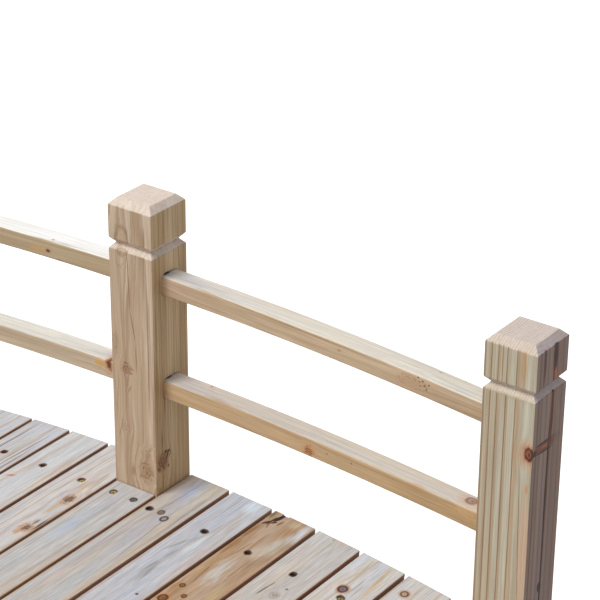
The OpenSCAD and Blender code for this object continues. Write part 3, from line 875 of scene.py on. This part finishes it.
# Screws that were driven off the middle of a far end, as the picture shows them, and screws that
# lie nearer the surface.
strays = {8: (-2, 311), 9: (-0.5, 310), 10: (-1.5, 309), 12: (-23, 306), 13: (-3, 308),
          14: (-2, 306), 15: (-1, 307), 16: (1.5, 308.6)}
shallow = {11: 1.3}
proud = {4: 1.2, 10: 2.0, 16: 2.0}
plank_wood = {
    7: dict(top=(196, 198, 202), cloud=0.8, marks=[
        (300, -20, 90, 1.4, (150, 148, 152), 0.6), (330, 12, 60, 1.2, (150, 146, 142), 0.6)]),
    8: dict(top=(196, 197, 200), gold=0.1, marks=[
        (324, 19, 66, 1.4, (112, 90, 82), 0.85, 0.3, 0.5, 2),
        (336, -18.5, 84, 1.5, (92, 88, 90), 0.9, 0.3, 0.5, 1),
        (330, 6, 80, 9, (184, 178, 168), 0.6, 0.6, 0.9),
        (322, 12, 70, 1.1, (150, 112, 96), 0.7, 0.4, 0.5, 2),
        (280, 26, 90, 2.4, (150, 116, 92), 0.7, 0.5)]),
    9: dict(top=(202, 204, 207), cloud=0.4, gold=0.1, marks=[
        (278, -17, 40, 3.2, (214, 190, 154), 0.6, 0.4, 0.8, 10),
        (265, -19, 10, 3, (184, 110, 78), 0.85, 0.4, 0.6, 55),
        (336, -16, 9, 2.6, (196, 196, 156), 0.6, 0.8), (300, 27, 90, 3, (196, 164, 128), 0.6, 0.5)]),
    10: dict(top=(204, 201, 200), gold=0.3, knots=[
        ((259, 18.6, 0), (12, 6.5, 40), (110, 86, 68), 0.9, 0.5),
        ((172, 20.6, 0), (8, 7, 40), (108, 84, 70), 0.9, 0.6)], marks=[
        (290, 15, 24, 5, (200, 176, 136), 0.7, 0.6, 0.8),
        (230, 16, 28, 6, (194, 166, 122), 0.8, 0.6, 0.8), (158, 17, 10, 6, (188, 150, 104), 0.85),
        # The dark mark by the edge at 31 on the next line is painted shadow in the gap beside plank 11.
        (188, 22, 12, 3.6, (118, 92, 72), 0.85, 0.7), (186, 31, 26, 2.4, (52, 34, 28), 0.9, 0.5, 0.6),
        (330, 6, 70, 10, (212, 192, 166), 0.5, 0.6, 0.9), (262, 12, 12, 2.0, (96, 74, 60), 0.8, 0.9)]),
    11: dict(top=(188, 189, 190), cool=(183, 187, 196), gold=0.15, cloud=0.7, lines=0.5,
        late=(148, 130, 116), marks=[
        (208, -9, 66, 13, (176, 187, 203), 0.7, 0.5, 0.9), (74, -7, 70, 5, (162, 166, 176), 0.5),
        (220, 14, 110, 1.0, (152, 148, 148), 0.7), (160, -20, 90, 1.0, (154, 150, 148), 0.7),
        (250, 4, 80, 1.0, (152, 148, 146), 0.65), (300, -24, 60, 1.0, (156, 150, 146), 0.65),
        (238, -29, 26, 1.6, (200, 166, 136), 0.7), (150, 22, 60, 3, (168, 160, 158), 0.6)]),
    12: dict(top=(187, 184, 180), cool=(182, 184, 191), honey=(196, 178, 152), gold=0.4,
        late=(148, 126, 106), marks=[
        (262, 1, 120, 11, (174, 173, 186), 0.7, 0.5, 0.8),
        (374, -4, 44, 12, (166, 180, 208), 0.85, 0.4, 0.98),
        (345, -7, 70, 1.5, (142, 138, 146), 0.65, 0.4, 0.6, 2),
        (372, -16, 44, 3.6, (172, 166, 182), 0.6),
        (268, 21, 104, 4.2, (204, 184, 150), 0.6, 0.4, 0.9, -4),
        (110, 27, 110, 4, (202, 182, 152), 0.55, 0.4, 0.9),
        (250, 14.5, 96, 1.0, (142, 126, 112), 0.7, 0.3, 0.5, -4),
        (200, -12, 120, 1.0, (152, 142, 140), 0.7), (240, -21, 110, 1.0, (154, 144, 140), 0.65),
        (330, 26, 60, 1.2, (150, 132, 116), 0.6), (110, -14, 50, 7, (204, 184, 180), 0.5),
        (372, 18, 40, 5, (204, 200, 190), 0.5), (308, -3.6, 7.2, 6.0, (84, 66, 48), 0.9, 0.12, 0.25),
        (308, -3.6, 4.6, 3.6, (136, 118, 96), 0.9, 0.12, 0.4),
        (298, 9.2, 8.4, 6.6, (74, 56, 56), 0.95, 0.12, 0.25),
        (298, 9.2, 5.2, 3.8, (160, 144, 150), 0.9, 0.12, 0.4)]),
    13: dict(top=(190, 193, 200), cool=(180, 187, 202), gold=0.05, lines=0.4,
        late=(150, 138, 134), marks=[
        (396, 12, 26, 15, (206, 218, 226), 0.85, 0.4, 0.9),
        (276, 7, 38, 8, (208, 215, 219), 0.75, 0.6, 0.8),
        (262, -12, 32, 3.0, (148, 152, 144), 0.8, 0.6, 0.9, 18),
        (236, -5, 22, 3.0, (134, 136, 136), 0.7, 0.7, 0.95, 4),
        (204, -8, 24, 3.0, (118, 120, 118), 0.7, 0.7, 0.9, 8),
        (190, -1, 30, 3.4, (142, 140, 140), 0.7, 0.8, 0.95, -4),
        (186, -5, 40, 8, (160, 157, 158), 0.7, 0.7, 0.95),
        (240, 24, 80, 7, (196, 178, 174), 0.65, 0.5, 0.9), (370, -12, 70, 1.0, (158, 158, 160), 0.7),
        (380, -2, 60, 1.0, (164, 162, 164), 0.65), (330, 12, 80, 1.0, (162, 162, 166), 0.6),
        (142, 19, 3.2, 2.8, (92, 46, 44), 0.95, 0.4, 0.5)]),
    14: dict(top=(178, 153, 130), cool=(162, 134, 106), honey=(168, 126, 86), cloud=0.9, gold=0.6,
        bleach_and_sky_light=0.95, wander=26.0, lines=0.9, fibres=0.22, marks=[
        (246, -4, 48, 13, (194, 188, 180), 0.9, 1.0, 0.8),
        (318, 8, 30, 13, (198, 184, 168), 0.7, 0.9, 0.9),
        (384, 25, 40, 10, (206, 212, 220), 0.85, 0.6, 0.9),
        (340, 16, 44, 13, (198, 196, 184), 0.7, 0.7, 0.98),
        (398, 8, 16, 14, (200, 182, 160), 0.6, 0.8, 0.95), (304, -28, 30, 5, (152, 106, 62), 0.8, 0.6),
        (250, -24, 60, 7, (176, 138, 82), 0.6, 0.8, 0.9), (350, -29, 26, 4, (146, 98, 54), 0.8, 0.6),
        (270, 12, 40, 2, (140, 106, 78), 0.7, 0.9), (300, -14, 40, 2, (146, 104, 70), 0.7, 0.9, 0.6, 6),
        (226, -18, 36, 2, (138, 100, 70), 0.7, 0.9, 0.6, -6),
        (330, -6, 40, 2, (150, 112, 78), 0.7, 0.9), (400, -29, 12, 3.6, (104, 92, 44), 0.8, 0.6),
        (398, -17, 14, 3.8, (34, 16, 14), 1.0, 0.4, 0.3, 8),
        # The next mark darkens the chip at the plank's end: painted shade on its walls.
        (409, -14, 4, 8, (48, 30, 34), 0.95, 0.3, 0.4),
        (386, -22, 14, 2.2, (58, 30, 14), 1.0, 0.6, 0.3, 6),
        (384, -17, 6, 2.2, (56, 28, 14), 1.0, 0.6, 0.4, 40),
        (380, -25, 11, 1.8, (62, 34, 16), 1.0, 0.6, 0.3, 24),
        (388, -9, 9, 2.4, (126, 84, 40), 0.9, 0.6, 0.5, 14),
        (376, -20, 12, 1.3, (110, 70, 40), 0.85, 0.6, 0.5, -10),
        (200, 22, 40, 5, (186, 166, 118), 0.6, 0.9), (180, -26, 30, 5, (168, 122, 84), 0.7, 0.8),
        *ringed(194, -21, 4.4, (70, 42, 26), (146, 110, 70), 0.5),
        *ringed(177, -5, 4.2, (72, 42, 26), (140, 100, 64), 0.5),
        *ringed(157, -23, 7.6, (76, 42, 22), (140, 94, 52), 0.8)]),
    15: dict(top=(196, 194, 192), cool=(188, 186, 186), honey=(202, 186, 166), gold=0.4, lines=0.3,
        wander=16.0, knots=[((255, 7.9, 0), (6.6, 5.6, 40), (160, 150, 138), 0.7, 0.1)], marks=[
        (258, -10, 20, 1.4, (100, 76, 64), 0.9, 0.4, 0.5, 5),
        (272, -8.4, 8, 1.0, (96, 70, 60), 0.9, 0.4, 0.5, 5), (275.5, 12, 3, 2.6, (110, 90, 76), 0.9),
        (405, -6, 4, 3, (150, 158, 120), 0.7), (406, 7, 8, 7, (206, 176, 150), 0.8, 0.6, 0.8),
        (385, 5, 24, 1.3, (184, 172, 144), 0.7, 0.4, 0.6, -13),
        (300, -16, 56, 13, (210, 194, 180), 0.5, 0.6, 0.9), (215, -2, 30, 8, (204, 178, 146), 0.6, 0.7),
        (350, -20, 50, 1.0, (166, 150, 138), 0.65), (330, 20, 60, 1.0, (168, 152, 140), 0.6)]),
    16: dict(top=(204, 202, 200), gold=0.15, marks=[
        (392, -24, 56, 6, (200, 208, 221), 0.75, 0.4, 0.8),
        (378, -11, 38, 2.4, (190, 176, 146), 0.85, 0.4, 0.5, -3),
        (350, -15, 24, 1.8, (182, 166, 138), 0.8, 0.4, 0.5, 8),
        (368, 17.5, 56, 3.2, (200, 178, 142), 0.9, 0.3, 0.5, -5),
        (342, 3, 26, 1.4, (160, 156, 148), 0.7, 0.5), (335, 9, 20, 1.2, (164, 158, 150), 0.6, 0.5),
        *ringed(325.5, -7.4, 7.4, (58, 38, 40), (140, 116, 120), 0.8)]),
    17: dict(top=(204, 200, 195), gold=0.3,
             marks=ringed(373, -15.4, 5.9, (92, 66, 50), (196, 174, 158), 0.8))}


def bore(number, plank, place):
    """Sinks a plank's screw holes, and gives the place of each in millimetres."""
    dice = random.Random(number)
    spots = []
    for end in (-1, 1):
        if number in beside_posts:
            spots += [(side * screw_pair / 2 + dice.uniform(-2, 2), end * screw_row)
                      for side in (-1, 1)]
        elif end == 1 and number in strays:
            spots.append(strays[number])
        else:
            spots.append((dice.uniform(-3, 3), end * screw_row + dice.uniform(-3, 3)))
    for across, along in spots:
        cutter = add_shape("cone", "sink", vertices=20, radius1=sink_d * 0.38 * MM,
                           radius2=sink_d * 0.52 * MM,
                           depth=2 * shallow.get(number, sink_depth) * MM)
        move(cutter, place @ Matrix.Translation((across * MM, along * MM, plank_t / 2)))
        carve(plank, cutter)
    return spots


boards = {}
for name, length in plank_lengths.items():
    boards[name] = add_shape("cube", f"{name}_board", (plank_w, length, plank_t), size=1)
    open_piece(boards[name], every=True)
    bpy.ops.mesh.subdivide(number_cuts=1)
    close_piece()
    ease(boards[name], plank_edge, segments=4)

screw_places = []
for number in range(1, 22):
    node = f"plank_{number:02d}"
    low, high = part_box(node)
    middle = (low + high) / 2
    lean = math.atan2(middle.x, middle.z - arc_z)
    place = Matrix.Translation(middle) @ Matrix.Rotation(lean, 4, "Y")
    plank = copy_of(boards["short" if number in beside_posts else "long"], f"{node}_board")
    move(plank, place)
    spots = bore(number, plank, place)
    if number == 14:
        chip = add_shape("ico_sphere", "chip", (0.0070, 0.0032, 0.0042), subdivisions=2, radius=1)
        move(chip, place @ Matrix.Translation((-0.0150, plank_lengths["long"] / 2, plank_t / 2))
             @ Matrix.Rotation(math.radians(-20), 4, "Z"))
        carve(plank, chip)
    smooth(plank)
    across = Vector((math.cos(lean), 0, -math.sin(lean)))
    axes = board_axes(middle, Vector((0, 1, 0)), across)
    dice = random.Random(100 + number)
    shade = dice.uniform(197, 205)
    # The planks' long sides, seen only in the gaps, are tinted dark red-brown: painted shade between
    # the planks.
    wood = dict(top=(shade, shade - 3, shade - dice.uniform(3, 10)),
                pith=(dice.uniform(-30, 30), dice.uniform(45, 70)), ring=dice.uniform(5, 8),
                gold=dice.choice((0.1, 0.3, 0.5)), bleach_and_sky_light=0.94, streaks=0.25, fibres=0.17,
                nap=0.2, pale=(204, 178, 150), warm=(190, 160, 130), late=(146, 116, 92),
                ends=(188, 158, 130), knots=wild_knots(dice, 760, 64, 18, 3),
                faces=[(way, (164, 126, 104), 0.95) for way in (across, -across)], marks=[])
    if number in plank_wood:
        unseen = [knot for knot in wood["knots"] if knot[0][0] < 40]
        wood.update(plank_wood[number])
        wood["knots"] = unseen + plank_wood[number].get("knots", [])
    worn = strokes((196, 168, 136), 0.5, 0.5, 0.9, (0, -31, 430, 4.5), (0, 31, 430, 4.5))
    # The dark rims round the screw holes are torn fibres and, at each hole's mouth, painted shade.
    rim, hole_wall_shade = ((98, 58, 42), (78, 44, 30)) if number < 11 else ((66, 44, 34), (58, 38, 28))
    torn = strokes(rim, 0.92, 0.55, 0.22, *[(y, x, 6.9, 6.3) for x, y in spots])
    wood["marks"] = on_face(2, plank_top, worn + wood["marks"] + torn)
    # Painted shade: the walls of the sunk holes are dark from their rim down.
    wood["marks"] += [((y, x, plank_top + 3.8), (5.4, 5.4, 3.5), hole_wall_shade, 0.95, 0.1, 0.3,
                       (0, 0, 0)) for x, y in spots]
    fit_out(plank, fir(f"fir_{node}", axes, 101.0 + 5.3 * number, **wood), "deck_plank", node)
    head = (shallow.get(number, sink_depth) - 0.7 - proud.get(number, 0)) * MM
    screw_places += [(place @ Matrix.Translation((x * MM, y * MM, plank_t / 2 - head)),
                      (number, x, y)) for x, y in spots]
for board in boards.values():
    bpy.data.objects.remove(board)


# Deck screws. Countersunk steel screws with a cross recess, zinc plated and passivated yellow,
# driven through the planks into the side beams below the surface. Most are a dark brown zinc.
head_r = 0.0041
shank_r = 0.0022
head_h = 0.0024
recess = (0.0040, 0.0010, 0.0028)
yellow_on = (4, 10, 11, 16, 20)


def inset_top(piece, border, rise=0.0):
    """Draws a border inside a piece's top face, and lifts what is within it."""
    open_top(piece)
    bpy.ops.mesh.inset(thickness=border)
    bpy.ops.transform.translate(value=(0, 0, rise))
    close_piece()


def screw_head(name):
    """A countersunk head with a cross recess, its top at nothing."""
    head = add_shape("cone", name, vertices=20, radius1=shank_r, radius2=head_r,
                     depth=head_h, location=(0, 0, -head_h / 2))
    inset_top(head, 0.0005)
    for turn in (0, math.pi / 2):
        bar = add_shape("cube", "recess", recess, size=1)
        carve(head, move(bar, Matrix.Rotation(turn, 4, "Z")))
    ease(head, 0.00015, segments=1, limit=40)
    smooth(head)
    return head


def zinc(name, bright, dull, rough):
    """Zinc plate: a thin metal skin with uneven passivation and small dull spots."""
    material = bpy.data.materials.new(name)
    tree = bare_tree(material)
    place = vector(tree, "MULTIPLY", put(tree, "TexCoord").outputs["Object"], (400, 400, 400))
    uneven = between(tree, noise(tree, place, detail=4.0), 0.35, 0.65)
    colour = tint(tree, uneven, srgb(*bright), srgb(*dull))
    height = noise(tree, vector(tree, "MULTIPLY", place, (3, 3, 3)))
    bump = put(tree, "Bump", inputs={"Strength": 0.2, "Distance": 0.0001, "Height": height})
    roughness = calc(tree, "MULTIPLY_ADD", uneven, 0.2, rough)
    shader = put(tree, "BsdfPrincipled", inputs={"Base Color": colour, "Metallic": 0.85,
                                                 "Roughness": roughness, "Normal": bump})
    put(tree, "OutputMaterial", shader)
    return material


def drive(model, place, dice):
    """Puts a copy of a screw at a place, turned about its length as it was left."""
    return move(copy_of(model, "screw"), place @ Matrix.Rotation(dice.uniform(0, math.pi), 4, "Z"))


def join(pieces, name):
    """Makes one piece of many."""
    pick(pieces[0])
    for piece in pieces:
        piece.select_set(True)
    bpy.ops.object.join()
    pieces[0].name = name
    pieces[0].data.name = name
    return settle(pieces[0])


plates = {"yellow": zinc("yellow_zinc", (206, 190, 110), (150, 128, 62), 0.35),
          "tarnished": zinc("dark_brown_zinc", (116, 90, 60), (66, 46, 32), 0.5),
          "grey": zinc("grey_zinc", (150, 152, 156), (98, 98, 102), 0.4)}
model = screw_head("screw_head")
dice = random.Random(5)
heads = {shine: [] for shine in plates}
for place, (number, x, y) in screw_places:
    shine = "yellow" if number in yellow_on else "tarnished"
    heads["grey" if number == 11 and x > 0 and y > 0 else shine].append(drive(model, place, dice))
for shine, plate in plates.items():
    fit_out(join(heads[shine], f"deck_screws_{shine}"), plate, "fastener")


# Brace screws. Two of the same screws go through each beam's outer face into the end grain of
# each end brace. Those of the middle brace are hidden by the posts.
brace_rise = 0.010
brace_proud = 0.0003

heads = []
for end in ("left", "right"):
    low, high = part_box(f"cross_brace_{end}")
    middle = (low + high) / 2
    lean = math.atan2(middle.x, middle.z - arc_z)
    for side, way in (("front", -1), ("back", 1)):
        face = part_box(f"side_beam_{side}")[0 if way < 0 else 1].y
        outward = Matrix.Rotation(-way * math.pi / 2, 4, "X") @ Matrix.Translation((0, 0, brace_proud))
        for rise in (-brace_rise, brace_rise):
            up = Vector((math.sin(lean), 0, math.cos(lean))) * rise
            place = Matrix.Translation(Vector((middle.x, face, middle.z)) + up)
            heads.append(drive(model, place @ outward, dice))
fit_out(join(heads, "brace_screws"), plates["yellow"], "fastener")
bpy.data.objects.remove(model)


# Coach screws. Each post is held to its beam by two hexagon coach screws with washers, driven
# from inside the beam, so that only the far side of the beam shows them.
washer_r = 0.009
washer_t = 0.0016
hex_r = 0.0065
hex_h = 0.005
coach_ease = 0.0003
coach_rise = 0.010
coach_spread = {"left": 0.018, "middle": 0.0265, "right": 0.018}


def coach_screw(name):
    """A hexagon head with a chamfered top on a round washer, facing up."""
    head = add_shape("cylinder", name, vertices=6, radius=hex_r, depth=hex_h,
                     location=(0, 0, washer_t + hex_h / 2))
    inset_top(head, 0.0010, 0.0005)
    ease(head, coach_ease, limit=25)
    washer = add_shape("cylinder", "washer", vertices=28, radius=washer_r,
                       depth=washer_t, location=(0, 0, washer_t / 2))
    inset_top(washer, 0.0014, 0.0002)
    ease(washer, coach_ease, limit=40)
    joined = join([head, washer], name)
    smooth(joined)
    return joined


model = coach_screw("coach_screw")
screws = []
for side, way in (("front", 1), ("back", -1)):
    beam_low, beam_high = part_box(f"side_beam_{side}")
    face = beam_high.y if way > 0 else beam_low.y
    inward = Matrix.Rotation(-way * math.pi / 2, 4, "X")
    for end, spread in coach_spread.items():
        low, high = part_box(f"post_{side}_{end}")
        for hand in (-1, 1):
            x = (low.x + high.x) / 2 + hand * spread
            beam_mid = arc_z + math.sqrt((beam_high.z - arc_z - beam_depth / 2) ** 2 - x ** 2)
            place = Matrix.Translation((x, face, beam_mid + hand * coach_rise))
            screws.append(drive(model, place @ inward, dice))
fit_out(join(screws, "coach_screws"), plates["grey"], "fastener")
bpy.data.objects.remove(model)


# Setting. A plain pale floor that stays white in the picture and keeps the bridge's shadow, an
# even white sky and one broad soft lamp from the upper left front.
floor_size = 8.0
sky_level = 0.50
floor_tone = 0.50
floor_glow = 0.80
white = (1.0, 1.0, 1.0, 1.0)


def seen_directly(tree):
    """Is 1 for what the camera sees, also in a mirror or through glass, and 0 for other light."""
    rays = put(tree, "LightPath").outputs
    seen = calc(tree, "MAXIMUM", rays["Is Camera Ray"], rays["Is Glossy Ray"])
    return calc(tree, "MAXIMUM", seen, rays["Is Transmission Ray"])


bpy.ops.mesh.primitive_plane_add(size=floor_size, location=(0, 0, 0))
floor = bpy.context.object
floor.name = "floor"
paint = bpy.data.materials.new("pale_floor")
tree = bare_tree(paint)
matt = put(tree, "BsdfDiffuse", (floor_tone, floor_tone, floor_tone, 1.0))
lit = put(tree, "AddShader", matt, put(tree, "Emission", white, floor_glow))
put(tree, "OutputMaterial", put(tree, "MixShader", seen_directly(tree), matt, lit))
floor.data.materials.append(paint)

sky = bpy.data.worlds.new("studio")
bpy.context.scene.world = sky
tree = bare_tree(sky)
level = put(tree, "MapRange", seen_directly(tree), 0.0, 1.0, sky_level, 1.0)
put(tree, "OutputWorld", put(tree, "Background", white, level))

lamp_data = bpy.data.lights.new("lamp", "SUN")
lamp_data.energy = 2.09
lamp_data.angle = math.radians(22)
lamp = bpy.data.objects.new("lamp", lamp_data)
bpy.context.scene.collection.objects.link(lamp)
lamp_turn = math.radians(25)
lamp_height = math.radians(55.7)
toward = Vector((-math.sin(lamp_turn) * math.cos(lamp_height),
                 -math.cos(lamp_turn) * math.cos(lamp_height), math.sin(lamp_height)))
lamp.rotation_euler = toward.to_track_quat("Z", "Y").to_euler()


# Camera. A long lens that looks down on the far railing from the right front, with the middle
# and right posts and the planks between them in the picture.
camera_data = bpy.data.cameras.new("camera")
camera_data.sensor_width = 36.0
camera_data.lens = 138.0
camera_data.clip_end = 100.0
camera = bpy.data.objects.new("camera", camera_data)
bpy.context.scene.collection.objects.link(camera)
bpy.context.scene.camera = camera
turn, dip, roll = math.radians(35.74), math.radians(26.30), math.radians(0.50)
look = Vector((-math.sin(turn) * math.cos(dip), math.cos(turn) * math.cos(dip), -math.sin(dip)))
level_right = Vector((math.cos(turn), math.sin(turn), 0))
level_up = level_right.cross(look)
right = level_right * math.cos(roll) + level_up * math.sin(roll)
up = right.cross(look)
pose = Matrix((right, up, -look)).transposed().to_4x4()
pose.translation = Vector((1.7508, -1.7176, 1.7667))
camera.matrix_world = pose
bpy.context.scene.view_settings.view_transform = "Standard"
